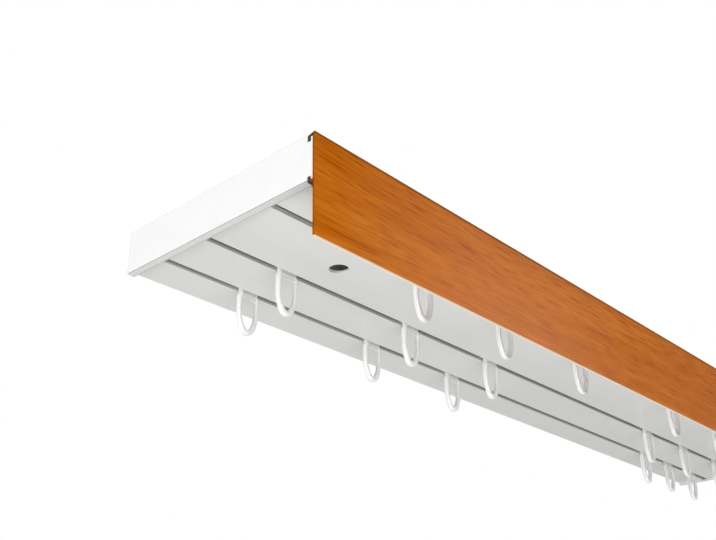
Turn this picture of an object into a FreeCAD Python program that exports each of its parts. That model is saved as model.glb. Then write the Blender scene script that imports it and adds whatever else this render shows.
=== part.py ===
import FreeCAD, Part
import math
import os
import Sketcher
from FreeCAD import Vector

# Three-slot ceiling curtain track: a hollow extruded profile, a clip-on fascia strip,
# two end caps, and one-piece loop gliders that slide in the three slots.
# Millimetres. X runs along the track, -Y is the fascia side, Z = 0 is the ceiling.
# Y = 0 is the line of the two fixing screws, X = 0 is the middle of the track.

SIZES = [
    # Extruded profile
    ("track_length", 600, "cut length of the profile"),
    ("track_height", 22, "ceiling face to underside"),
    ("top_wall", 1.4, "wall against the ceiling"),
    ("side_wall", 1.4, "front and rear walls"),
    ("floor_wall", 1.6, "wall that holds the slots"),
    ("web", 1.2, "inner webs, channel roofs and flange links"),
    ("rib_spacing", 18, "clear width of the screw bay between its two ribs"),
    ("rear_chamber", 15.05, "clear width of the chamber behind the rear channel"),
    ("rear_round", 0.8, "rounding of the profile's lower rear edge"),
    # Slots and their channels
    ("front_slot", -21.75, "screw line to the front slot"),
    ("middle_slot", 21.75, "screw line to the middle slot"),
    ("rear_slot", 52.75, "screw line to the rear slot"),
    ("slot_width", 3.6, "opening in the underside"),
    ("channel_width", 11, "inside the channel above a slot"),
    ("channel_height", 7, "channel floor to channel roof"),
    ("bead_width", 1, "runner bead on each side of a slot"),
    ("bead_height", 0.5, "runner bead above the channel floor"),
    # Screw holes
    ("screw_inset", 68, "end of the profile to a fixing screw"),
    ("screw_hole", 5, "diameter of the hole in the top wall"),
    ("access_hole", 10, "diameter of the screwdriver hole in the underside"),
    # Fascia strip and the flange that it clips on
    ("fascia_setback", 52.2, "screw line to the fascia's front face"),
    ("fascia_height", 50, "ceiling to the fascia's lower edge"),
    ("fascia_thickness", 1.2, "sheet of the fascia"),
    ("fascia_round", 0.3, "rounding of the fascia's front edges"),
    ("hook_leg", 0.9, "legs of the fascia's two hooks"),
    ("hook_drop", 1, "fall of the upper leg from the fascia to its lip"),
    ("hook_lip", 1.3, "upright lips of the hooks"),
    ("lip_length", 1.8, "free length of a hook's lip"),
    ("clip_play", 0.15, "clearance of the hooks round the flange"),
    ("flange_thickness", 1.4, "upright flange of the profile"),
    ("flange_gap", 4.85, "flange to the profile's front wall"),
    ("flange_overhang", 1.1, "underside to the flange's lower edge"),
    ("link_room", 2.1, "tip of a hook's lip to the flange link beside it"),
    # End caps
    ("cap_plate", 1.5, "plate that covers the end of the profile"),
    ("cap_skirt", 0.9, "wall of the skirt below and behind the profile"),
    ("skirt_play", 0.1, "clearance of the skirt round the profile"),
    ("skirt_reach", 2.7, "length of profile that the skirt covers"),
    ("cap_gap", 0.2, "clearance of the plate behind the lips of the hooks"),
    ("cap_round", 2, "radius of the plate's upper rear corner"),
    ("cap_bevel", 0.4, "bevel round the plate's outer face"),
    ("plug_length", 8, "length of the plugs inside the chambers"),
    ("plug_wall", 1.2, "wall of the hollow plugs"),
    ("plug_play", 0.15, "clearance of the plugs in the chambers"),
    # Gliders
    ("glider_play", 0.1, "clearance of a glider's head over the beads"),
    ("head_play", 0.7, "clearance of the head on each side of the channel"),
    ("head_inset", 0.5, "tip of the head behind the side of the loop"),
    ("head_taper", 2.5, "tapered part at each end of the head"),
    ("head_tip", 5, "width of the flat tip at each end of the head"),
    ("head_height", 3, "thickness of the head"),
    ("neck_play", 0.6, "clearance of the neck on each side of the slot"),
    ("neck_inset", 0.7, "end of the neck behind the side of the loop"),
    ("loop_gap", 0.7, "underside to the top of the loop"),
    ("loop_width", 12.8, "loop along the track"),
    ("loop_depth", 2.8, "loop across the slot"),
    ("loop_drop", 23.2, "underside to the bottom of the loop"),
    ("loop_bridge", 3.4, "bridge between the legs at the top of the loop"),
    ("leg_thickness", 1.7, "legs of the loop"),
    ("bottom_thickness", 2.6, "round bottom of the loop"),
    ("leg_straight", 11, "underside to the end of the legs' straight part"),
    ("bottom_radius", 4.6, "outer radius at the bottom of the loop"),
    ("loop_bevel", 0.4, "bevel along the loop's outer edges"),
    # Glider places. Those of the left group are measured from the left cap's outer face,
    # those of the right group from the right cap's outer face.
    ("front_left_1", 107.5, "glider place"),
    ("front_left_2", 178.3, "glider place"),
    ("front_left_3", 258.3, "glider place"),
    ("front_right_1", 222, "glider place"),
    ("front_right_2", 151, "glider place"),
    ("front_right_3", 71, "glider place"),
    ("middle_left_1", 55.1, "glider place"),
    ("middle_left_2", 150.4, "glider place"),
    ("middle_left_3", 226.8, "glider place"),
    ("middle_right_1", 172, "glider place"),
    ("middle_right_2", 112, "glider place"),
    ("middle_right_3", 52, "glider place"),
    ("rear_left_1", 57.3, "glider place"),
    ("rear_left_2", 152.9, "glider place"),
    ("rear_left_3", 229, "glider place"),
    ("rear_right_1", 117, "glider place"),
    ("rear_right_2", 76, "glider place"),
    ("rear_right_3", 33, "glider place"),
]


class Size:
    """A number worked out from the sheet, with the expression that binds it there."""

    def __init__(self, value, text=None):
        self.value = float(value)
        self.text = text or f"{value:g}"

    def combine(self, other, sign, swap=False):
        other = other if isinstance(other, Size) else Size(other)
        a, b = (other, self) if swap else (self, other)
        value = {
            "+": lambda: a.value + b.value,
            "-": lambda: a.value - b.value,
            "*": lambda: a.value * b.value,
            "/": lambda: a.value / b.value,
        }[sign]()
        return Size(value, f"({a.text} {sign} {b.text})")

    def __add__(self, other):
        return self.combine(other, "+")

    def __radd__(self, other):
        return self.combine(other, "+", swap=True)

    def __sub__(self, other):
        return self.combine(other, "-")

    def __rsub__(self, other):
        return self.combine(other, "-", swap=True)

    def __mul__(self, other):
        return self.combine(other, "*")

    def __rmul__(self, other):
        return self.combine(other, "*", swap=True)

    def __truediv__(self, other):
        return self.combine(other, "/")

    def __neg__(self):
        return 0 - self


doc = FreeCAD.newDocument("curtain_track")
sheet = doc.addObject("Spreadsheet::Sheet", "Sizes")
S = {}
for row, (alias, number, meaning) in enumerate(SIZES, start=1):
    sheet.set(f"A{row}", meaning)
    sheet.set(f"B{row}", str(number))
    sheet.setAlias(f"B{row}", alias)
    S[alias] = Size(number, f"Sizes.{alias}")
doc.recompute()

SLOTS = ("front", "middle", "rear")

# Places across the track, front to rear
fascia_front = -S["fascia_setback"]
fascia_back = fascia_front + S["fascia_thickness"]
flange_front = fascia_back + S["clip_play"]
flange_back = flange_front + S["flange_thickness"]
lip_front = flange_back + S["clip_play"]
lip_back = lip_front + S["hook_lip"]
body_front = flange_back + S["flange_gap"]
rear_chamber = S["rear_slot"] + S["channel_width"] / 2 + S["web"]
body_rear = rear_chamber + S["rear_chamber"] + S["side_wall"]
cap_front = lip_back + S["cap_gap"]
cap_rear = body_rear + S["skirt_play"] + S["cap_skirt"]


def upper_leg_bottom(place):
    """Height of the upper hook's sloping leg, on its lower side."""
    return -S["hook_leg"] - S["hook_drop"] * (place - fascia_front) / (lip_back - fascia_front)


# Heights, ceiling downwards
underside = -S["track_height"]
channel_floor = underside + S["floor_wall"]
bead_top = channel_floor + S["bead_height"]
channel_roof = channel_floor + S["channel_height"]
flange_top = upper_leg_bottom(flange_back) - S["clip_play"]
flange_bottom = underside - S["flange_overhang"]
upper_lip_tip = -(S["hook_drop"] + S["hook_leg"] + S["lip_length"])
lower_leg_top = flange_bottom - S["clip_play"]
lower_leg_bottom = lower_leg_top - S["hook_leg"]
lower_lip_tip = lower_leg_top + S["lip_length"]
upper_link = upper_lip_tip - S["link_room"]
lower_link = lower_lip_tip + S["link_room"]
cap_bottom = underside - S["skirt_play"] - S["cap_skirt"]

track_end = S["track_length"] / 2
outer_end = track_end + S["cap_plate"]


def channel_sides(slot):
    centre = S[f"{slot}_slot"]
    return centre - S["channel_width"] / 2, centre + S["channel_width"] / 2


def chambers():
    """Closed chambers of the profile, as (front, rear, lower, upper)."""
    roof = -S["top_wall"]
    front_left, front_right = channel_sides("front")
    middle_left, middle_right = channel_sides("middle")
    rear_left, rear_right = channel_sides("rear")
    rib_face = S["rib_spacing"] / 2
    over_channel = channel_roof + S["web"]
    return {
        "link": (flange_back, body_front, lower_link + S["web"], upper_link - S["web"]),
        "front": (body_front + S["side_wall"], front_left - S["web"], channel_floor, roof),
        "over_front": (front_left, front_right, over_channel, roof),
        "rib_front": (front_right + S["web"], -rib_face - S["web"], channel_floor, roof),
        "screw_bay": (-rib_face, rib_face, channel_floor, roof),
        "rib_rear": (rib_face + S["web"], middle_left - S["web"], channel_floor, roof),
        "over_middle": (middle_left, middle_right, over_channel, roof),
        "between": (middle_right + S["web"], rear_left - S["web"], channel_floor, roof),
        "over_rear": (rear_left, rear_right, over_channel, roof),
        "rear": (rear_chamber, rear_chamber + S["rear_chamber"], channel_floor, roof),
    }


# Sketch helpers


def new_body(name):
    body = doc.addObject("PartDesign::Body", name)
    body.Label = name
    return body


def new_sketch(body, name, role, offset=None):
    sketch = body.newObject("Sketcher::SketchObject", name)
    plane = [part for part in body.Origin.OriginFeatures if part.Role == role][0]
    sketch.AttachmentSupport = [(plane, "")]
    sketch.MapMode = "FlatFace"
    if offset is not None:
        sketch.setExpression("AttachmentOffset.Base.z", offset.text)
    return sketch


def bind(sketch, kind, places, size):
    """Adds a dimension that follows the sheet."""
    index = sketch.addConstraint(Sketcher.Constraint(kind, *places, size.value))
    sketch.setExpression(f"Constraints[{index}]", size.text)


def bind_point(sketch, geometry, end, point):
    bind(sketch, "DistanceX", (-1, 1, geometry, end), point[0])
    bind(sketch, "DistanceY", (-1, 1, geometry, end), point[1])


def draw_outline(sketch, points):
    """A closed outline of straight lines through points bound to the sheet."""
    first = sketch.GeometryCount
    count = len(points)
    corners = [Vector(x.value, y.value, 0) for x, y in points]
    for i in range(count):
        line = Part.LineSegment(corners[i], corners[(i + 1) % count])
        sketch.addGeometry(line, False)
    for i in range(count):
        joint = Sketcher.Constraint("Coincident", first + i, 2, first + (i + 1) % count, 1)
        sketch.addConstraint(joint)
        bind_point(sketch, first + i, 1, points[i])


def rectangle(left, right, low, high):
    return [(left, low), (right, low), (right, high), (left, high)]


def draw_circle(sketch, x, y, diameter):
    circle = Part.Circle(Vector(x.value, y.value, 0), Vector(0, 0, 1), diameter.value / 2)
    index = sketch.addGeometry(circle, False)
    bind_point(sketch, index, 3, (x, y))
    bind(sketch, "Diameter", (index,), diameter)


def pad(body, sketch, length, name, reverse=False, middle=False):
    feature = body.newObject("PartDesign::Pad", name)
    feature.Profile = sketch
    feature.setExpression("Length", length.text)
    feature.Reversed = reverse
    if middle:
        feature.SideType = "Symmetric"
    doc.recompute()
    return feature


def pocket(body, sketch, depth, name, reverse=False):
    """Cuts, and makes sure that the cut takes something away."""
    before = body.Shape.Volume
    feature = body.newObject("PartDesign::Pocket", name)
    feature.Profile = sketch
    feature.setExpression("Length", depth.text)
    feature.Reversed = reverse
    doc.recompute()
    if not feature.Shape.Volume < before:
        raise ValueError(f"{name} cuts nothing")
    return feature


def dress_edges(body, kind, base, chosen, size, name):
    """A Fillet or Chamfer on the edges of base for which chosen(edge) is true."""
    names = [f"Edge{i}" for i, edge in enumerate(base.Shape.Edges, start=1) if chosen(edge)]
    feature = body.newObject(f"PartDesign::{kind}", name)
    feature.Base = (base, names)
    feature.setExpression("Radius" if kind == "Fillet" else "Size", size.text)
    doc.recompute()
    return feature


def runs_along_x_at(y, z):
    """Picks the edge that runs along X through the given place of the section."""

    def chosen(edge):
        box = edge.BoundBox
        flat = box.YLength < 1e-4 and box.ZLength < 1e-4 and box.XLength > 1e-4
        return flat and abs(box.YMin - y.value) < 1e-3 and abs(box.ZMin - z.value) < 1e-3

    return chosen


# Extruded profile


def slot_outline(slot):
    """From the rear edge of a slot up, round its channel and down to its front edge."""
    centre = S[f"{slot}_slot"]
    half_slot = S["slot_width"] / 2
    half_channel = S["channel_width"] / 2
    bead_side = half_slot + S["bead_width"]
    half = [
        (half_slot, underside),
        (half_slot, bead_top),
        (bead_side, bead_top),
        (bead_side, channel_floor),
        (half_channel, channel_floor),
        (half_channel, channel_roof),
    ]
    rear = [(centre + y, z) for y, z in half]
    front = [(centre - y, z) for y, z in reversed(half)]
    return rear + front


def build_track():
    body = new_body("track_profile")
    body.setExpression("Placement.Base.x", (-track_end).text)
    section = new_sketch(body, "track_section", "YZ_Plane")
    outline = [(body_front, Size(0)), (body_rear, Size(0)), (body_rear, underside)]
    for slot in reversed(SLOTS):
        outline += slot_outline(slot)
    outline += [
        (body_front, underside),
        (body_front, lower_link),
        (flange_back, lower_link),
        (flange_back, flange_bottom),
        (flange_front, flange_bottom),
        (flange_front, flange_top),
        (flange_back, flange_top),
        (flange_back, upper_link),
        (body_front, upper_link),
    ]
    draw_outline(section, outline)
    for chamber in chambers().values():
        draw_outline(section, rectangle(*chamber))
    extrusion = pad(body, section, S["track_length"], "extrusion")
    rear_edge = runs_along_x_at(body_rear, underside)
    dress_edges(body, "Fillet", extrusion, rear_edge, S["rear_round"], "rear_rounding")

    # Screw holes in the top wall, and the larger screwdriver holes below them
    first = S["screw_inset"]
    last = S["track_length"] - S["screw_inset"]
    top = new_sketch(body, "screw_hole_places", "XY_Plane")
    for x in (first, last):
        draw_circle(top, x, Size(0), S["screw_hole"])
    pocket(body, top, S["top_wall"] * 2, "screw_holes")
    below = new_sketch(body, "access_hole_places", "XY_Plane", offset=underside)
    for x in (first, last):
        draw_circle(below, x, Size(0), S["access_hole"])
    pocket(body, below, S["floor_wall"] * 2, "access_holes", reverse=True)
    return body


# Fascia strip


def build_fascia():
    body = new_body("fascia_strip")
    body.setExpression("Placement.Base.x", (-outer_end).text)
    section = new_sketch(body, "fascia_section", "YZ_Plane")
    fascia_bottom = -S["fascia_height"]
    outline = [
        (fascia_front, Size(0)),
        (fascia_front, fascia_bottom),
        (fascia_back, fascia_bottom),
        (fascia_back, lower_leg_bottom),
        (lip_back, lower_leg_bottom),
        (lip_back, lower_lip_tip),
        (lip_front, lower_lip_tip),
        (lip_front, lower_leg_top),
        (fascia_back, lower_leg_top),
        (fascia_back, upper_leg_bottom(fascia_back)),
        (lip_front, upper_leg_bottom(lip_front)),
        (lip_front, upper_lip_tip),
        (lip_back, upper_lip_tip),
        (lip_back, -S["hook_drop"]),
    ]
    draw_outline(section, outline)
    strip = pad(body, section, outer_end * 2, "strip")
    at_top = runs_along_x_at(fascia_front, Size(0))
    at_bottom = runs_along_x_at(fascia_front, fascia_bottom)
    dress_edges(
        body,
        "Fillet",
        strip,
        lambda edge: at_top(edge) or at_bottom(edge),
        S["fascia_round"],
        "front_rounding",
    )
    return body


# End caps


def build_end_cap(name, side):
    """side is -1 for the left end of the track and 1 for the right end."""
    body = new_body(name)
    body.setExpression("Placement.Base.x", (track_end * side).text)
    outward = side < 0

    plate_outline = new_sketch(body, "plate_outline", "YZ_Plane")
    notch_top = upper_lip_tip - S["clip_play"]
    notch_bottom = lower_lip_tip + S["clip_play"]
    draw_outline(
        plate_outline,
        [
            (flange_front, flange_top),
            (flange_front, flange_bottom),
            (flange_back, flange_bottom),
            (flange_back, notch_bottom),
            (cap_front, notch_bottom),
            (cap_front, cap_bottom),
            (cap_rear, cap_bottom),
            (cap_rear, Size(0)),
            (cap_front, Size(0)),
            (cap_front, notch_top),
            (flange_back, notch_top),
            (flange_back, flange_top),
        ],
    )
    pad(body, plate_outline, S["cap_plate"], "plate", reverse=outward)

    skirt_outline = new_sketch(body, "skirt_outline", "YZ_Plane")
    skirt_top = cap_bottom + S["cap_skirt"]
    skirt_face = cap_rear - S["cap_skirt"]
    draw_outline(
        skirt_outline,
        [
            (cap_front, cap_bottom),
            (cap_rear, cap_bottom),
            (cap_rear, Size(0)),
            (skirt_face, Size(0)),
            (skirt_face, skirt_top),
            (cap_front, skirt_top),
        ],
    )
    pad(body, skirt_outline, S["skirt_reach"], "skirt", reverse=not outward)

    plug_outline = new_sketch(body, "plug_outline", "YZ_Plane")
    spaces = chambers()
    for chamber in ("front", "screw_bay", "between", "rear"):
        left, right, low, high = spaces[chamber]
        for inset in (S["plug_play"], S["plug_play"] + S["plug_wall"]):
            inner = rectangle(left + inset, right - inset, low + inset, high - inset)
            draw_outline(plug_outline, inner)
    plugs = pad(body, plug_outline, S["plug_length"], "plugs", reverse=not outward)
    corner = runs_along_x_at(cap_rear, Size(0))
    rounded = dress_edges(body, "Fillet", plugs, corner, S["cap_round"], "corner_rounding")

    outer_face = S["cap_plate"].value * side

    def on_outer_face(edge):
        box = edge.BoundBox
        return box.XLength < 1e-4 and abs(box.XMin - outer_face) < 1e-3

    dress_edges(body, "Chamfer", rounded, on_outer_face, S["cap_bevel"], "outer_bevel")
    return body


# Gliders


def draw_loop(sketch, leg, bottom_wall, top):
    """A loop outline: straight legs that two long arcs draw in to a small round bottom.

    leg and bottom_wall are 0 for the outside, and the thickness of a leg and of the
    bottom for the opening.
    """
    half = S["loop_width"] / 2 - leg
    radius = S["bottom_radius"] - bottom_wall
    leg_end = underside - S["leg_straight"]
    bottom_centre = underside - S["loop_drop"] + S["bottom_radius"]
    # The long arc touches the leg at leg_end and the round bottom from inside
    rise = leg_end.value - bottom_centre.value
    long_radius = (half.value**2 + rise**2 - radius.value**2) / (2 * (half.value - radius.value))
    turn = math.atan2(rise, long_radius - half.value)
    reach = long_radius - half.value
    normal = Vector(0, 0, 1)
    circles = {
        "right": Part.Circle(Vector(-reach, leg_end.value, 0), normal, long_radius),
        "bottom": Part.Circle(Vector(0, bottom_centre.value, 0), normal, radius.value),
        "left": Part.Circle(Vector(reach, leg_end.value, 0), normal, long_radius),
    }
    top_left = Vector(-half.value, top.value, 0)
    top_right = Vector(half.value, top.value, 0)
    end_left = Vector(-half.value, leg_end.value, 0)
    end_right = Vector(half.value, leg_end.value, 0)
    bridge = sketch.addGeometry(Part.LineSegment(top_left, top_right), False)
    leg_right = sketch.addGeometry(Part.LineSegment(top_right, end_right), False)
    arc_right = sketch.addGeometry(Part.ArcOfCircle(circles["right"], -turn, 0), False)
    bottom = Part.ArcOfCircle(circles["bottom"], turn - math.pi, -turn)
    arc_bottom = sketch.addGeometry(bottom, False)
    left = Part.ArcOfCircle(circles["left"], math.pi, math.pi + turn)
    arc_left = sketch.addGeometry(left, False)
    leg_left = sketch.addGeometry(Part.LineSegment(end_left, top_left), False)
    rules = [
        Sketcher.Constraint("Coincident", bridge, 2, leg_right, 1),
        Sketcher.Constraint("Coincident", leg_left, 2, bridge, 1),
        Sketcher.Constraint("Tangent", leg_right, 2, arc_right, 2),
        Sketcher.Constraint("Tangent", arc_right, 1, arc_bottom, 2),
        Sketcher.Constraint("Tangent", arc_bottom, 1, arc_left, 2),
        Sketcher.Constraint("Tangent", arc_left, 1, leg_left, 1),
        Sketcher.Constraint("Horizontal", bridge),
        Sketcher.Constraint("Vertical", leg_right),
        Sketcher.Constraint("Vertical", leg_left),
    ]
    for rule in rules:
        sketch.addConstraint(rule)
    bind_point(sketch, leg_right, 2, (half, leg_end))
    bind_point(sketch, leg_left, 1, (-half, leg_end))
    bind(sketch, "DistanceY", (-1, 1, bridge, 1), top)
    bind_point(sketch, arc_bottom, 3, (Size(0), bottom_centre))
    bind(sketch, "Radius", (arc_bottom,), radius)


def head_points():
    """The head in plan: straight sides that taper to a flat tip at each end."""
    half_width = S["channel_width"] / 2 - S["head_play"]
    half_length = S["loop_width"] / 2 - S["head_inset"]
    half_side = half_length - S["head_taper"]
    half_tip = S["head_tip"] / 2
    right = [
        (half_side, -half_width),
        (half_length, -half_tip),
        (half_length, half_tip),
        (half_side, half_width),
    ]
    return right + [(-x, -y) for x, y in right]


def build_glider(name, slot, place):
    body = new_body(name)
    body.setExpression("Placement.Base.x", place.text)
    body.setExpression("Placement.Base.y", S[f"{slot}_slot"].text)
    loop_top = underside - S["loop_gap"]
    head_bottom = bead_top + S["glider_play"]

    loop_outline = new_sketch(body, "loop_outline", "XZ_Plane")
    draw_loop(loop_outline, Size(0), Size(0), loop_top)
    opening_top = loop_top - S["loop_bridge"]
    draw_loop(loop_outline, S["leg_thickness"], S["bottom_thickness"], opening_top)
    loop = pad(body, loop_outline, S["loop_depth"], "loop", middle=True)

    half_depth = S["loop_depth"].value / 2
    sides = [f for f in loop.Shape.Faces if abs(abs(f.CenterOfMass.y) - half_depth) < 1e-3]
    rims = [edge for side in sides for edge in side.OuterWire.Edges]

    def on_a_rim(edge):
        return any(edge.isSame(rim) for rim in rims)

    dress_edges(body, "Chamfer", loop, on_a_rim, S["loop_bevel"], "loop_bevels")

    neck_outline = new_sketch(body, "neck_outline", "XZ_Plane")
    half_neck = S["loop_width"] / 2 - S["neck_inset"]
    draw_outline(neck_outline, rectangle(-half_neck, half_neck, loop_top, head_bottom))
    pad(body, neck_outline, S["slot_width"] - 2 * S["neck_play"], "neck", middle=True)

    head_outline = new_sketch(body, "head_outline", "XY_Plane", offset=head_bottom)
    draw_outline(head_outline, head_points())
    pad(body, head_outline, S["head_height"], "head")
    return body


def build_gliders():
    made = []
    for slot in SLOTS:
        left = [S[f"{slot}_left_{i}"] - outer_end for i in (1, 2, 3)]
        right = [outer_end - S[f"{slot}_right_{i}"] for i in (1, 2, 3)]
        for number, place in enumerate(left + right, start=1):
            made.append(build_glider(f"glider_{slot}_{number}", slot, place))
    return made


def check_document():
    for item in doc.Objects:
        faults = [state for state in item.State if state in ("Invalid", "Error")]
        if faults:
            raise ValueError(f"{item.Name} is {faults}")


def export(bodies):
    for body in bodies:
        if body.Shape.isNull() or not body.Shape.isValid():
            raise ValueError(f"{body.Label} has no valid shape")
        if len(body.Shape.Solids) != 1:
            raise ValueError(f"{body.Label} is not one solid")
    os.makedirs("parts", exist_ok=True)
    for body in bodies:
        body.Shape.exportStep(f"parts/{body.Label}.step")


pieces = [build_track(), build_fascia()]
pieces += [build_end_cap("end_cap_left", -1), build_end_cap("end_cap_right", 1)]
pieces += build_gliders()
doc.recompute()
check_document()
export(pieces)
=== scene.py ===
import math

import bmesh
import bpy
from mathutils import Matrix, Vector


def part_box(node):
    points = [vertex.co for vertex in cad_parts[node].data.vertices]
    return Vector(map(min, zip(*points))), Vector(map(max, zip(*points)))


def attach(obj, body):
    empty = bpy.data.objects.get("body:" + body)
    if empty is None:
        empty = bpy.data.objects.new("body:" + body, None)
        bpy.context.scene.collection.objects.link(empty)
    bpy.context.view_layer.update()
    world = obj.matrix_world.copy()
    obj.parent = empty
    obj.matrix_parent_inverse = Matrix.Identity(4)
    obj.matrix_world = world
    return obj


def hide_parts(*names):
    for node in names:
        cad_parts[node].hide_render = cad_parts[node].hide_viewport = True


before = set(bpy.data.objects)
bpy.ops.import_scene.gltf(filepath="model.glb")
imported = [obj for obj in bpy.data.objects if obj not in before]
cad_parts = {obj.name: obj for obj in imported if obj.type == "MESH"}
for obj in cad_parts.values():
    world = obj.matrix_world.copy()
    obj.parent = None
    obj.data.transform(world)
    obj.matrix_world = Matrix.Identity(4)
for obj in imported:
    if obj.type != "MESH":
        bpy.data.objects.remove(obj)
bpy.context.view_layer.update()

MM = 0.001

# Sizes of a glider, the same as in its CAD solid
LEG_THICKNESS = 1.7 * MM
LEG_STRAIGHT = 10.3 * MM
LOOP_DEPTH = 2.8 * MM
LOOP_HEIGHT = 22.5 * MM
BOTTOM_THICKNESS = 2.6 * MM
BOTTOM_RADIUS = 4.6 * MM
BRIDGE_HEIGHT = 3.4 * MM
NECK_INSET = 0.7 * MM
NECK_THICKNESS = 2.4 * MM
HEAD_HEIGHT = 3.0 * MM
HEAD_INSET = 0.5 * MM
HEAD_TAPER = 2.5 * MM
HEAD_TIP = 5.0 * MM
HEAD_WIDTH = 9.6 * MM

# Sizes that only the gliders' moulding in this scene has
LOOP_CORNER = 1.15 * LEG_THICKNESS
BRIDGE_THICKNESS = 2.3 * MM
BRIDGE_BEVEL = 0.2 * MM
NECK_BEVEL = 0.3 * MM
NECK_IN_HEAD = 0.5 * MM
HEAD_BEVEL = 0.5 * MM

# The loop's section is a superellipse. An exponent of 2 would make it an ellipse.
SECTION_EXPONENT = 4.5

# Fineness of the gliders' mesh
SECTION_SIDES = 24
CORNER_STEPS = 8
LEG_STEPS = 16
BOTTOM_STEPS = 24
BEVEL_SEGMENTS = 3

# Edges that turn by more than the first angle are bevelled, and those that turn by
# more than the second are shaded as sharp
BEVELLED_ANGLE = math.radians(30)
SHARP_ANGLE = math.radians(40)

# Places across the track of the slots, front to rear
SLOT_BOXES = [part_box(f"glider_{slot}_1") for slot in ("front", "middle", "rear")]
SLOT_PLACES = [(low.y + high.y) / 2 for low, high in SLOT_BOXES]

# Height of the profile's underside
UNDERSIDE = -22.0 * MM

# The channels' painted shade, a grey: the height in the slot where it is full, the height above
# the channel's roof where it ends, and how far it reaches to each side of a slot's middle
CHANNEL_SHADE_FULL = UNDERSIDE + 1.4 * MM
CHANNEL_SHADE_TOP = UNDERSIDE + 9.1 * MM
CHANNEL_SHADE_HALF_WIDTH = 5.7 * MM

# Painted light: where the underside begins to be painted paler towards the fascia, and where it is
# palest
PAINTED_LIGHT_FROM = 8.0 * MM
PAINTED_LIGHT_TO = -30.0 * MM

# Front face and lower edge of the fascia
FASCIA_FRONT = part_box("fascia_strip")[0].y
FASCIA_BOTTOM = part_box("fascia_strip")[0].z

# Bevel round the plate of a cap, the line of painted shade beside it at the upper and rear edges,
# how far the cap reaches along the profile, and the painted shade on the inner edge of its skirt
CAP_BEVEL = 0.4 * MM
CAP_SHADE_LINE = 0.35 * MM
CAP_REACH = 4.2 * MM
SKIRT_SHADE_LINE = 0.6 * MM

# A face's own tint is full up to the first distance from it, and gone at the second
FACE_NEAR = 0.1 * MM
FACE_FAR = 0.3 * MM

# How strongly the backdrop lights the object, and what the floor gains where it is seen
AMBIENT = 0.26
FLOOR_PALENESS = 0.25

# In metres
FLOOR_HEIGHT = -2.0
FLOOR_SIZE = 400

# Name, place, target, size in metres and power in watts
LAMPS = [
    ("key", (-1.7, 0.0, -0.28), (-0.2, 0, 0), 0.4, 11.8),
    ("front", (-0.55, -0.8, -1.0), (-0.2, 0, 0), 1.6, 11.7),
    ("fill", (-0.5, -1.6, 0.1), (-0.15, 0, 0), 0.8, 14),
    ("top", (1.2, 1.4, 3.0), (0, 0, 0), 2.0, 85),
]

# Inputs of a Mix node that mixes colours, and its output
MIX_FACTOR = 0
MIX_FIRST = 6
MIX_SECOND = 7
MIX_RESULT = 2


# Node helpers


def new_material(name):
    material = bpy.data.materials.new(name)
    material.use_nodes = True
    nodes = material.node_tree.nodes
    return material, nodes, material.node_tree.links, nodes["Principled BSDF"]


def add(nodes, kind, **values):
    """A node with its plain properties and, by input name, its unlinked values."""
    node = nodes.new(kind)
    for key, value in values.items():
        if key in node.bl_rna.properties:
            setattr(node, key, value)
        else:
            node.inputs[key.replace("_", " ")].default_value = value
    return node


def object_place(nodes, links, scale=(1, 1, 1), turn=(0, 0, 0)):
    """The object's own coordinates in metres, scaled and turned.

    For the CAD solids they are the coordinates of the shared frame.
    """
    coordinates = add(nodes, "ShaderNodeTexCoord")
    mapping = add(nodes, "ShaderNodeMapping", Scale=scale, Rotation=turn)
    links.new(coordinates.outputs["Object"], mapping.inputs["Vector"])
    return mapping.outputs["Vector"]


def position(nodes, links):
    """The object's own coordinates in metres, one by one."""
    coordinates = add(nodes, "ShaderNodeTexCoord")
    axes = add(nodes, "ShaderNodeSeparateXYZ")
    links.new(coordinates.outputs["Object"], axes.inputs["Vector"])
    return axes.outputs


def noise(nodes, links, place, scale, detail=3.0, roughness=0.5):
    node = add(nodes, "ShaderNodeTexNoise", Scale=scale, Detail=detail, Roughness=roughness)
    links.new(place, node.inputs["Vector"])
    return node.outputs["Fac"]


def ramp(nodes, links, source, *stops):
    """stops are (place, colour) pairs."""
    node = add(nodes, "ShaderNodeValToRGB")
    elements = node.color_ramp.elements
    while len(elements) < len(stops):
        elements.new(0.5)
    for element, (place, colour) in zip(elements, stops):
        element.position = place
        element.color = (*colour, 1)
    links.new(source, node.inputs["Fac"])
    return node.outputs["Color"]


def mix(nodes, links, factor, first, second, blend="MIX"):
    """Mixes two colours. Each of the three may be a value or a socket."""
    node = add(nodes, "ShaderNodeMix", data_type="RGBA", blend_type=blend)
    for key, value in ((MIX_FACTOR, factor), (MIX_FIRST, first), (MIX_SECOND, second)):
        if isinstance(value, bpy.types.NodeSocket):
            links.new(value, node.inputs[key])
        elif key == MIX_FACTOR:
            node.inputs[key].default_value = value
        else:
            node.inputs[key].default_value = (*value, 1)
    return node.outputs[MIX_RESULT]


def map_range(nodes, links, source, low, high, to_low, to_high):
    """A straight slope from to_low, where the source is low, to to_high, and level beyond."""
    node = add(
        nodes,
        "ShaderNodeMapRange",
        From_Min=low,
        From_Max=high,
        To_Min=to_low,
        To_Max=to_high,
    )
    links.new(source, node.inputs["Value"])
    return node.outputs["Result"]


def fade(nodes, links, source, zero_at, one_at):
    """0 up to one value of the source, and 1 from the other on."""
    return map_range(nodes, links, source, zero_at, one_at, 0, 1)


def at_lower_face(nodes, links, height, face):
    """1 at a piece's lowest face, and 0 a little above it."""
    return fade(nodes, links, height, face + FACE_FAR, face + FACE_NEAR)


def math_node(nodes, links, operation, *values):
    node = add(nodes, "ShaderNodeMath", operation=operation)
    for key, value in enumerate(values):
        if isinstance(value, bpy.types.NodeSocket):
            links.new(value, node.inputs[key])
        else:
            node.inputs[key].default_value = value
    return node.outputs["Value"]


def chain(nodes, links, operation, first, *others):
    """Takes the values together one after the other, as in a product of several factors."""
    for other in others:
        first = math_node(nodes, links, operation, first, other)
    return first


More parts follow.
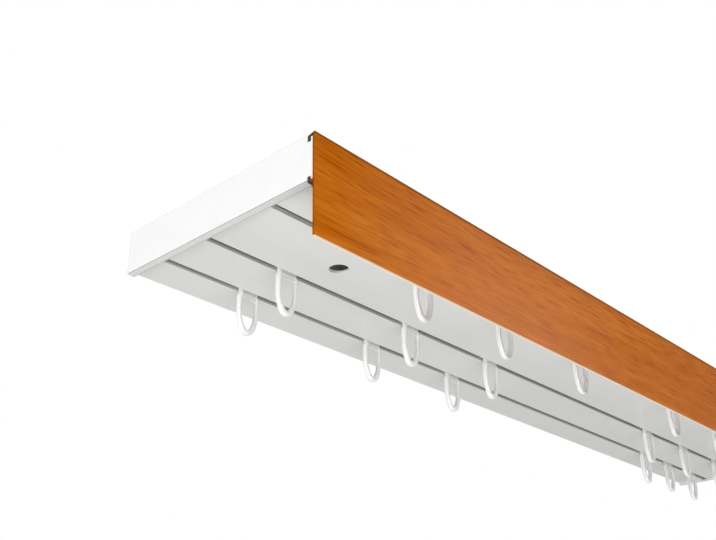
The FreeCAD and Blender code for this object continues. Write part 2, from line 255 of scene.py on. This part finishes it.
def seen_directly(nodes, links):
    """1 for what the camera sees, also in a mirror or through glass, and 0 for other light."""
    path = add(nodes, "ShaderNodeLightPath")
    rays = [path.outputs[ray] for ray in ("Is Camera Ray", "Is Glossy Ray", "Is Transmission Ray")]
    return chain(nodes, links, "MAXIMUM", *rays)


def bump(nodes, links, shader, height, distance, strength):
    node = add(nodes, "ShaderNodeBump", Strength=strength, Distance=distance)
    links.new(height, node.inputs["Height"])
    links.new(node.outputs["Normal"], shader.inputs["Normal"])


# Materials


def in_channel(nodes, links, axes):
    """Mask of the channels' painted shade: 0 outside the channels above the slots, and 1 in them,
    with a slope inside the slots.
    """
    depth = fade(nodes, links, axes["Z"], UNDERSIDE + FACE_NEAR, CHANNEL_SHADE_FULL)
    distances = []
    for place in SLOT_PLACES:
        offset = math_node(nodes, links, "SUBTRACT", axes["Y"], place)
        distances.append(math_node(nodes, links, "ABSOLUTE", offset))
    nearest = chain(nodes, links, "MINIMUM", *distances)
    within = math_node(nodes, links, "LESS_THAN", nearest, CHANNEL_SHADE_HALF_WIDTH)
    under_roof = math_node(nodes, links, "LESS_THAN", axes["Z"], CHANNEL_SHADE_TOP)
    return chain(nodes, links, "MULTIPLY", depth, within, under_roof)


def extruded_plastic():
    """Glossy white plastic with the faint lines that the extrusion die leaves along it."""
    dim = (0.765, 0.775, 0.74)
    light = (0.795, 0.80, 0.77)
    # Painted light on the underside towards the fascia
    painted_light_tone = (0.93, 0.935, 0.905)
    # Painted shade in the channels, less of it in the front one
    channel_painted_shade = (0.41, 0.415, 0.39)
    front_channel_painted_shade = (0.76, 0.765, 0.735)
    die_line = (0.98, 0.98, 0.98)
    plain = (1, 1, 1)

    material, nodes, links, shader = new_material("extruded_white_plastic")
    drawn_out = object_place(nodes, links, (2.0, 150.0, 150.0))
    die_lines = noise(nodes, links, drawn_out, 4.0, detail=4.0)
    cloud = noise(nodes, links, object_place(nodes, links), 14.0, detail=2.0)
    tone = ramp(nodes, links, cloud, (0.3, dim), (0.7, light))
    lined = ramp(nodes, links, die_lines, (0.35, die_line), (0.65, plain))
    colour = mix(nodes, links, 1.0, tone, lined, "MULTIPLY")

    # Painted light: the underside is painted a little paler towards the fascia, to make up for the
    # fascia's shade
    axes = position(nodes, links)
    towards_fascia = fade(nodes, links, axes["Y"], PAINTED_LIGHT_FROM, PAINTED_LIGHT_TO)
    below = math_node(nodes, links, "LESS_THAN", axes["Z"], UNDERSIDE + FACE_NEAR)
    painted_light_amount = math_node(nodes, links, "MULTIPLY", towards_fascia, below)
    colour = mix(nodes, links, painted_light_amount, colour, painted_light_tone)

    # Painted shade: the channels above the slots are painted grey inside, the front one less so,
    # to make up for the fascia's shade there
    behind_front_slot = (SLOT_PLACES[0] + SLOT_PLACES[1]) / 2
    front = math_node(nodes, links, "LESS_THAN", axes["Y"], behind_front_slot)
    painted_shade_grey = mix(nodes, links, front, channel_painted_shade, front_channel_painted_shade)
    colour = mix(nodes, links, in_channel(nodes, links, axes), colour, painted_shade_grey)
    links.new(colour, shader.inputs["Base Color"])

    roughness = map_range(nodes, links, die_lines, 0.3, 0.7, 0.13, 0.19)
    links.new(roughness, shader.inputs["Roughness"])
    shader.inputs["Specular IOR Level"].default_value = 0.18
    bump(nodes, links, shader, die_lines, distance=0.02 * MM, strength=0.4)
    return material


def bridge_painted_shade(nodes, links, tone):
    """A glider's bridge is thin and lets more light through, so it looks greyer: painted shade in
    its colour.
    """
    # Painted shade on the bridge
    painted_shade_grey = (0.74, 0.75, 0.735)
    margin = 0.3 * MM
    low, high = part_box("glider_front_1")
    leg_inside = (high.x - low.x) / 2 - LEG_THICKNESS
    bridge_end = low.z + LOOP_HEIGHT - BRIDGE_HEIGHT

    axes = position(nodes, links)
    from_middle = math_node(nodes, links, "ABSOLUTE", axes["X"])
    between = fade(nodes, links, from_middle, leg_inside, leg_inside - margin)
    above = math_node(nodes, links, "GREATER_THAN", axes["Z"], bridge_end - margin)
    below = math_node(nodes, links, "LESS_THAN", axes["Z"], UNDERSIDE)
    thin = chain(nodes, links, "MULTIPLY", above, below, between)
    return mix(nodes, links, thin, tone, painted_shade_grey)


def cap_painted_shade(nodes, links, tone):
    """A cap is painted greyer below its skirt, on its plate's bevel and along its edges: painted
    shade.
    """
    # These greys are painted shade on white plastic
    under_face_painted_shade = (0.79, 0.795, 0.78)
    skirt_edge_painted_shade = (0.56, 0.565, 0.55)
    bevel = (0.68, 0.685, 0.67)
    lower_bevel_painted_shade = (0.40, 0.405, 0.395)
    edge_line_painted_shade = (0.78, 0.785, 0.77)
    face_margin = 0.03 * MM
    low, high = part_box("end_cap_right")
    outer_face = high.x
    skirt_inside = outer_face - CAP_REACH

    axes = position(nodes, links)
    from_middle = math_node(nodes, links, "ABSOLUTE", axes["X"])

    def above(axis, limit):
        return math_node(nodes, links, "GREATER_THAN", axis, limit)

    def below(axis, limit):
        return math_node(nodes, links, "LESS_THAN", axis, limit)

    def both(first, second):
        return math_node(nodes, links, "MULTIPLY", first, second)

    under = at_lower_face(nodes, links, axes["Z"], low.z)
    in_plate_edge = above(from_middle, outer_face - CAP_BEVEL)
    on_bevel = both(in_plate_edge, below(from_middle, outer_face - face_margin))
    on_lower_bevel = both(below(axes["Z"], low.z + CAP_BEVEL), on_bevel)
    on_skirt_edge = both(below(from_middle, skirt_inside + SKIRT_SHADE_LINE), under)
    upper = above(axes["Z"], high.z - CAP_BEVEL - CAP_SHADE_LINE)
    rear = above(axes["Y"], high.y - CAP_BEVEL - CAP_SHADE_LINE)
    on_line = both(math_node(nodes, links, "MAXIMUM", upper, rear), in_plate_edge)

    # Painted shade on the lower face, the skirt's inner edge, the bevels and the edge lines
    tone = mix(nodes, links, under, tone, under_face_painted_shade)
    tone = mix(nodes, links, on_skirt_edge, tone, skirt_edge_painted_shade)
    tone = mix(nodes, links, on_bevel, tone, bevel)
    tone = mix(nodes, links, on_lower_bevel, tone, lower_bevel_painted_shade)
    return mix(nodes, links, on_line, tone, edge_line_painted_shade)


def moulded_plastic(name, colour, roughness, translucency, tint):
    """White injection-moulded plastic: even, with a very fine surface and a little glow."""
    dimming = 0.985
    roughness_play = 0.04
    glow_reach = 4.0 * MM

    material, nodes, links, shader = new_material(name)
    place = object_place(nodes, links)
    fine = noise(nodes, links, place, 2500.0, detail=2.0)
    cloud = noise(nodes, links, place, 60.0, detail=2.0)
    dim = tuple(dimming * part for part in colour)
    tone = ramp(nodes, links, cloud, (0.35, dim), (0.65, colour))
    links.new(tint(nodes, links, tone), shader.inputs["Base Color"])
    low, high = roughness - roughness_play, roughness + roughness_play
    links.new(map_range(nodes, links, fine, 0.3, 0.7, low, high), shader.inputs["Roughness"])
    shader.inputs["Subsurface Weight"].default_value = translucency
    shader.inputs["Subsurface Radius"].default_value = (glow_reach, glow_reach, glow_reach)
    shader.inputs["Subsurface Scale"].default_value = 1.0
    bump(nodes, links, shader, fine, distance=0.01 * MM, strength=0.1)
    return material


def wood_film():
    """Printed cherry film on the front face, and the brown core at the edges and behind."""
    # Paler tone of the painted sheen
    painted_sheen_tone = (0.92, 0.48, 0.31)
    dark_line = (0.19, 0.07, 0.012)
    pale_lower_face = (0.80, 0.56, 0.34)
    dark_core = (0.085, 0.062, 0.048)
    pale_core = (0.98, 0.86, 0.74)
    plain = (1, 1, 1)
    tilt = (0, math.radians(1.2), 0)
    wander_scale = (7, 1, 22)
    wander_reach = 10

    material, nodes, links, shader = new_material("cherry_film")
    wander = add(nodes, "ShaderNodeTexNoise", Scale=1.0, Detail=1.0)
    links.new(object_place(nodes, links, wander_scale, tilt), wander.inputs["Vector"])

    def grain(length, pitch, **looks):
        """Noise in streaks of a length and pitch in mm, which wander by up to wander_reach."""
        place = object_place(nodes, links, (1000 / length, 1, 1000 / pitch), tilt)
        bent = add(nodes, "ShaderNodeVectorMath", operation="MULTIPLY_ADD")
        links.new(wander.outputs["Color"], bent.inputs[0])
        bent.inputs[1].default_value = (0, 0, wander_reach / pitch)
        links.new(place, bent.inputs[2])
        return noise(nodes, links, bent.outputs["Vector"], 1.0, **looks)

    streaks = grain(36, 1.15, detail=3.0, roughness=0.6)
    pores = grain(18, 0.6, detail=2.0, roughness=0.6)
    bands = grain(180, 8, detail=2.0)

    base = ramp(
        nodes,
        links,
        bands,
        (0.3, (0.40, 0.096, 0.002)),
        (0.5, (0.45, 0.118, 0.003)),
        (0.7, (0.50, 0.146, 0.010)),
    )
    streak = ramp(
        nodes,
        links,
        streaks,
        (0.3, (0.8, 0.7, 0.45)),
        (0.48, (0.98, 0.96, 0.9)),
        (0.7, (1.07, 1.12, 1.3)),
    )
    pore = ramp(nodes, links, pores, (0.34, (0.66, 0.54, 0.3)), (0.5, plain))
    printed = mix(nodes, links, 1.0, base, streak, "MULTIPLY")
    printed = mix(nodes, links, 0.85, printed, pore, "MULTIPLY")

    # Painted sheen: the print is painted paler along part of the strip, and more so towards the
    # lower edge
    axes = position(nodes, links)
    rising = map_range(nodes, links, axes["X"], -290 * MM, -190 * MM, 0, 0.13)
    falling = map_range(nodes, links, axes["X"], -130 * MM, -30 * MM, 1, 0.3)
    lower = map_range(nodes, links, axes["Z"], -5 * MM, -45 * MM, 0.7, 1.1)
    painted_light_amount = chain(nodes, links, "MULTIPLY", rising, falling, lower)
    printed = mix(nodes, links, painted_light_amount, printed, painted_sheen_tone)

    # The film is dark in a line along the upper edge
    upper_edge = fade(nodes, links, axes["Z"], -1.8 * MM, -1.3 * MM)
    printed = mix(nodes, links, upper_edge, printed, dark_line)

    # It is pale on its lower face
    lower_edge = at_lower_face(nodes, links, axes["Z"], FASCIA_BOTTOM)
    printed = mix(nodes, links, lower_edge, printed, pale_lower_face)

    # Red-brown core, darker in the lips and in the upper hook, and pale at the lower edge
    cloud = noise(nodes, links, object_place(nodes, links), 40.0)
    core = ramp(nodes, links, cloud, (0.35, (0.21, 0.052, 0.012)), (0.65, (0.26, 0.066, 0.016)))
    lips = fade(nodes, links, axes["Y"], FASCIA_FRONT + 2.3 * MM, FASCIA_FRONT + 2.9 * MM)
    upper_hook = fade(nodes, links, axes["Z"], -9 * MM, -7 * MM)
    dark = math_node(nodes, links, "MAXIMUM", lips, upper_hook)
    core = mix(nodes, links, dark, core, dark_core)
    core = mix(nodes, links, lower_edge, core, pale_core)

    behind = fade(nodes, links, axes["Y"], FASCIA_FRONT + 0.45 * MM, FASCIA_FRONT + 0.6 * MM)
    colour = mix(nodes, links, behind, printed, core)
    links.new(colour, shader.inputs["Base Color"])
    roughness = map_range(nodes, links, streaks, 0.3, 0.7, 0.46, 0.38)
    links.new(roughness, shader.inputs["Roughness"])
    shader.inputs["Specular IOR Level"].default_value = 0.015
    bump(nodes, links, shader, pores, distance=0.03 * MM, strength=0.3)
    return material


# Gliders


def arc_points(centre, radius, start, stop, count):
    """Points in the XZ plane, from angle start to angle stop."""
    centre_x, centre_z = centre
    angles = [start + (stop - start) * i / count for i in range(count + 1)]
    return [
        Vector((centre_x + radius * math.cos(angle), 0, centre_z + radius * math.sin(angle)))
        for angle in angles
    ]


def loop_line(half_width, loop_top, leg, bottom):
    """One side of the glider's loop, clockwise from the top left, in the XZ plane.

    leg and bottom are 0 for the outside, and the thicknesses for the inside.
    """
    half = half_width - leg
    corner = LOOP_CORNER - leg
    turn_x = half_width - LOOP_CORNER
    turn_z = loop_top - LOOP_CORNER
    leg_end = loop_top - LEG_STRAIGHT
    bottom_centre = loop_top - LOOP_HEIGHT + BOTTOM_RADIUS
    radius = BOTTOM_RADIUS - bottom
    rise = leg_end - bottom_centre

    # The long arcs touch the straight legs and the round bottom
    long_radius = (half**2 + rise**2 - radius**2) / (2 * (half - radius))
    reach = long_radius - half
    turn = math.atan2(rise, reach)
    half_turn = math.pi
    quarter = math.pi / 2
    points = arc_points((-turn_x, turn_z), corner, half_turn, quarter, CORNER_STEPS)
    points += arc_points((turn_x, turn_z), corner, quarter, 0, CORNER_STEPS)
    points += arc_points((-reach, leg_end), long_radius, 0, -turn, LEG_STEPS)
    points += arc_points((0, bottom_centre), radius, -turn, turn - half_turn, BOTTOM_STEPS)[1:]
    points += arc_points((reach, leg_end), long_radius, half_turn + turn, half_turn, LEG_STEPS)[1:]
    return points


def sweep_loop(bm, outside, inside, half_depth):
    """Sweeps a rounded section round a closed loop, between its outside and its inside."""
    power = 2 / SECTION_EXPONENT
    rings = []
    for outer, inner in zip(outside, inside):
        middle = (outer + inner) / 2
        outward = (outer - inner) / 2
        ring = []
        for side in range(SECTION_SIDES):
            angle = 2 * math.pi * (side + 0.5) / SECTION_SIDES
            cosine, sine = math.cos(angle), math.sin(angle)
            along = math.copysign(abs(cosine) ** power, cosine)
            across = math.copysign(abs(sine) ** power, sine) * half_depth
            ring.append(bm.verts.new(middle + outward * along + Vector((0, across, 0))))
        rings.append(ring)
    for here, there in zip(rings, rings[1:] + rings[:1]):
        for k in range(SECTION_SIDES):
            j = (k + 1) % SECTION_SIDES
            bm.faces.new((here[k], here[j], there[j], there[k]))


def mesh_object(name, bm):
    bmesh.ops.recalc_face_normals(bm, faces=bm.faces)
    mesh = bpy.data.meshes.new(name)
    bm.to_mesh(mesh)
    bm.free()
    piece = bpy.data.objects.new(name, mesh)
    bpy.context.scene.collection.objects.link(piece)
    return piece


def rounded_prism(name, outline, low, high, axis, bevel):
    """A prism of an outline, along Y or Z, with all its edges rounded."""
    bm = bmesh.new()

    def place(u, v, w):
        return (u, w, v) if axis == "Y" else (u, v, w)

    first = [bm.verts.new(place(u, v, low)) for u, v in outline]
    last = [bm.verts.new(place(u, v, high)) for u, v in outline]
    count = len(outline)
    bm.faces.new(first)
    bm.faces.new(last)
    for i in range(count):
        j = (i + 1) % count
        bm.faces.new((first[i], first[j], last[j], last[i]))
    bmesh.ops.recalc_face_normals(bm, faces=bm.faces)
    edges = [e for e in bm.edges if e.calc_face_angle() > BEVELLED_ANGLE]
    bmesh.ops.bevel(
        bm, geom=edges, offset=bevel, segments=BEVEL_SEGMENTS, profile=0.5, affect="EDGES"
    )
    return mesh_object(name, bm)


def rectangle(half_width, low, high):
    return [(-half_width, low), (half_width, low), (half_width, high), (-half_width, high)]


def head_outline(half_length):
    """The head in plan: straight sides that taper to a flat tip at each end."""
    half_side = half_length - HEAD_TAPER
    right = [
        (half_side, -HEAD_WIDTH / 2),
        (half_length, -HEAD_TIP / 2),
        (half_length, HEAD_TIP / 2),
        (half_side, HEAD_WIDTH / 2),
    ]
    return right + [(-x, -y) for x, y in right]


def unite(pieces):
    """Joins closed pieces into one mesh and removes them."""
    base = pieces[0]
    for other in pieces[1:]:
        joined = base.modifiers.new("join", "BOOLEAN")
        joined.operation = "UNION"
        joined.solver = "EXACT"
        joined.object = other
    bpy.context.view_layer.update()
    shape = base.evaluated_get(bpy.context.evaluated_depsgraph_get())
    mesh = bpy.data.meshes.new_from_object(shape)
    for piece in pieces:
        bpy.data.objects.remove(piece)
    for polygon in mesh.polygons:
        polygon.use_smooth = True
    mesh.set_sharp_from_angle(angle=SHARP_ANGLE)
    return mesh


def glider_mesh(node):
    """One glider about its own middle, with the heights of the shared frame."""
    low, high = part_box(node)
    half_width = (high.x - low.x) / 2
    loop_top = low.z + LOOP_HEIGHT
    top_middle = loop_top - LEG_THICKNESS / 2
    head_low = high.z - HEAD_HEIGHT

    bm = bmesh.new()
    outside = loop_line(half_width, loop_top, 0, 0)
    inside = loop_line(half_width, loop_top, LEG_THICKNESS, BOTTOM_THICKNESS)
    sweep_loop(bm, outside, inside, LOOP_DEPTH / 2)
    loop = mesh_object("loop", bm)

    bridge = rounded_prism(
        "bridge",
        rectangle(half_width - LEG_THICKNESS / 2, loop_top - BRIDGE_HEIGHT, top_middle),
        -BRIDGE_THICKNESS / 2,
        BRIDGE_THICKNESS / 2,
        "Y",
        BRIDGE_BEVEL,
    )
    neck = rounded_prism(
        "neck",
        rectangle(half_width - NECK_INSET, top_middle, head_low + NECK_IN_HEAD),
        -NECK_THICKNESS / 2,
        NECK_THICKNESS / 2,
        "Y",
        NECK_BEVEL,
    )
    head_shape = head_outline(half_width - HEAD_INSET)
    head = rounded_prism("head", head_shape, head_low, high.z, "Z", HEAD_BEVEL)
    return unite([loop, bridge, neck, head])


def build_gliders(material):
    names = sorted(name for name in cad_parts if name.startswith("glider_"))
    mesh = glider_mesh(names[0])
    mesh.name = "glider"
    mesh.materials.clear()
    mesh.materials.append(material)
    for name in names:
        low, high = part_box(name)
        piece = bpy.data.objects.new(name + "_moulding", mesh)
        bpy.context.scene.collection.objects.link(piece)
        piece.location = ((low.x + high.x) / 2, (low.y + high.y) / 2, 0)
        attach(piece, name)
        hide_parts(name)


def dress(node, material):
    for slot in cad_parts[node].material_slots:
        slot.material = material


# Stage, light and camera


def build_stage():
    bpy.ops.mesh.primitive_plane_add(size=FLOOR_SIZE, location=(0, 0, FLOOR_HEIGHT))
    floor = bpy.context.object
    floor.name = "floor"
    material, nodes, links, shader = new_material("pale_floor")
    shader.inputs["Base Color"].default_value = (0.8, 0.8, 0.8, 1)
    shader.inputs["Roughness"].default_value = 0.9
    shader.inputs["Emission Color"].default_value = (1, 1, 1, 1)
    glow = math_node(nodes, links, "MULTIPLY", seen_directly(nodes, links), FLOOR_PALENESS)
    links.new(glow, shader.inputs["Emission Strength"])
    floor.data.materials.append(material)

    # The backdrop is white where it is seen, and the light from it is softer
    world = bpy.data.worlds.new("studio")
    world.use_nodes = True
    nodes, links = world.node_tree.nodes, world.node_tree.links
    background = nodes["Background"]
    background.inputs["Color"].default_value = (1, 1, 1, 1)
    strength = map_range(nodes, links, seen_directly(nodes, links), 0, 1, AMBIENT, 1)
    links.new(strength, background.inputs["Strength"])
    bpy.context.scene.world = world


def add_area(name, place, target, size, power):
    lamp = bpy.data.lights.new(name, "AREA")
    lamp.shape = "SQUARE"
    lamp.size = size
    lamp.energy = power
    holder = bpy.data.objects.new(name, lamp)
    bpy.context.scene.collection.objects.link(holder)
    holder.location = place
    aim = Vector(target) - Vector(place)
    holder.rotation_euler = aim.to_track_quat("-Z", "Y").to_euler()


def build_camera():
    """The photograph's viewpoint: below the track, near its left end, looking up."""
    azimuth = math.radians(48.086)
    elevation = math.radians(26.554)
    roll = math.radians(1.011)
    place = Vector((-538.9, -288.1, -233.0)) * MM
    focal_pixels = 961.25
    image_width = 716
    sensor = 36.0

    level = math.cos(elevation)
    forward = Vector(
        (math.sin(azimuth) * level, math.cos(azimuth) * level, math.sin(elevation))
    )
    level_right = forward.cross(Vector((0, 0, 1))).normalized()
    level_up = level_right.cross(forward)
    right = level_right * math.cos(roll) - level_up * math.sin(roll)
    up = level_right * math.sin(roll) + level_up * math.cos(roll)
    turned = Matrix((right, up, -forward)).transposed().to_4x4()

    data = bpy.data.cameras.new("photo_camera")
    data.sensor_width = sensor
    data.lens = focal_pixels * sensor / image_width
    data.clip_start = 0.01
    camera = bpy.data.objects.new("photo_camera", data)
    bpy.context.scene.collection.objects.link(camera)
    camera.matrix_world = Matrix.Translation(place) @ turned
    bpy.context.scene.camera = camera


build_stage()
for lamp in LAMPS:
    add_area(*lamp)
build_camera()

dress("track_profile", extruded_plastic())
dress("fascia_strip", wood_film())
cap_plastic = moulded_plastic(
    "cap_plastic", colour=(0.93, 0.93, 0.925), roughness=0.3, translucency=0.1, tint=cap_painted_shade
)
dress("end_cap_left", cap_plastic)
dress("end_cap_right", cap_plastic)
glider_plastic = moulded_plastic(
    "glider_plastic",
    colour=(0.96, 0.965, 0.955),
    roughness=0.25,
    translucency=0.65,
    tint=bridge_painted_shade,
)
build_gliders(glider_plastic)

bpy.context.scene.view_settings.view_transform = "Standard"
